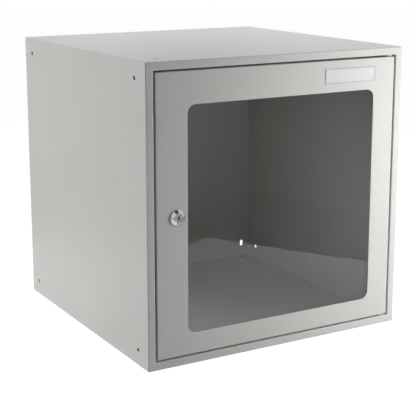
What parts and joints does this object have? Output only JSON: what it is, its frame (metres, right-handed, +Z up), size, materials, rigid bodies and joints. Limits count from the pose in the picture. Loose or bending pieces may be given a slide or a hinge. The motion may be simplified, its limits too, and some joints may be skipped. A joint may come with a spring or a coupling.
{
  "type": "cube locker",
  "caption": "Cube-shaped painted steel locker with a flush glazed door on concealed pivots, a cam lock, a blank label holder and holes for bolting lockers together.",
  "frame": {"origin": "centre of the base, on the underside of the bottom panel", "axes": "+Z up, +Y towards the back, so the door faces -Y, and +X towards the hinge side, on the right of someone who faces the door"},
  "size_m": [0.38, 0.384, 0.38],
  "materials": {
    "painted_steel": "light grey powder coat with a fine even texture, satin",
    "clear_pane": "clear polycarbonate sheet, polished",
    "zinc_plate": "bright zinc plate",
    "lock_chrome": "turned metal with a worn, softly bright chrome plate",
    "cam_steel": "bright stamped steel",
    "buffer_rubber": "matt black rubber",
    "nylon": "natural nylon",
    "label_plastic": "pale grey semi-gloss plastic",
    "label_card": "blank white card"
  },
  "bodies": {
    "carcass": {"left_side_panel": "painted_steel", "right_side_panel": "painted_steel", "top_panel": "painted_steel", "bottom_panel": "painted_steel", "back_panel": "painted_steel", "lower_door_buffer": "buffer_rubber", "upper_door_buffer": "buffer_rubber", "upper_pivot_bush": "nylon", "lower_pivot_bush": "nylon"},
    "door": {"door_panel": "painted_steel", "window_pane": "clear_pane", "top_pane_retainer": "zinc_plate", "bottom_pane_retainer": "zinc_plate", "right_pane_retainer": "zinc_plate", "left_lower_pane_retainer": "zinc_plate", "left_upper_pane_retainer": "zinc_plate", "top_pane_stud_1": "zinc_plate", "top_pane_stud_2": "zinc_plate", "bottom_pane_stud_1": "zinc_plate", "bottom_pane_stud_2": "zinc_plate", "right_pane_stud_1": "zinc_plate", "right_pane_stud_2": "zinc_plate", "left_lower_pane_stud_1": "zinc_plate", "left_lower_pane_stud_2": "zinc_plate", "left_upper_pane_stud_1": "zinc_plate", "left_upper_pane_stud_2": "zinc_plate", "top_pane_nut_1": "zinc_plate", "top_pane_nut_2": "zinc_plate", "bottom_pane_nut_1": "zinc_plate", "bottom_pane_nut_2": "zinc_plate", "right_pane_nut_1": "zinc_plate", "right_pane_nut_2": "zinc_plate", "left_lower_pane_nut_1": "zinc_plate", "left_lower_pane_nut_2": "zinc_plate", "left_upper_pane_nut_1": "zinc_plate", "left_upper_pane_nut_2": "zinc_plate", "upper_pivot_pin": "zinc_plate", "lower_pivot_pin": "zinc_plate", "upper_hinge_plate": "zinc_plate", "lower_hinge_plate": "zinc_plate", "lock_housing": "lock_chrome", "lock_washer": "zinc_plate", "lock_nut": "zinc_plate", "label_holder": "label_plastic"},
    "lock_cylinder": {"lock_plug": "lock_chrome", "lock_cam": "cam_steel", "cam_washer": "zinc_plate", "cam_screw": "zinc_plate"},
    "card": {"label_card": "label_card"}
  },
  "joints": [
    {"name": "door_hinge", "type": "hinge", "parent": "carcass", "child": "door", "pos_m": [0.1705, -0.1845, 0.19], "axis": [0, 0, 1], "range_deg": [0, 110]},
    {"name": "lock_turn", "type": "hinge", "parent": "door", "child": "lock_cylinder", "pos_m": [-0.1482, -0.19, 0.19], "axis": [0, 1, 0], "range_deg": [0, 90]},
    {"name": "label_card_slide", "type": "slide", "parent": "door", "child": "card", "axis": [-1, 0, 0], "range_m": [0, 0.07]}
  ]
}
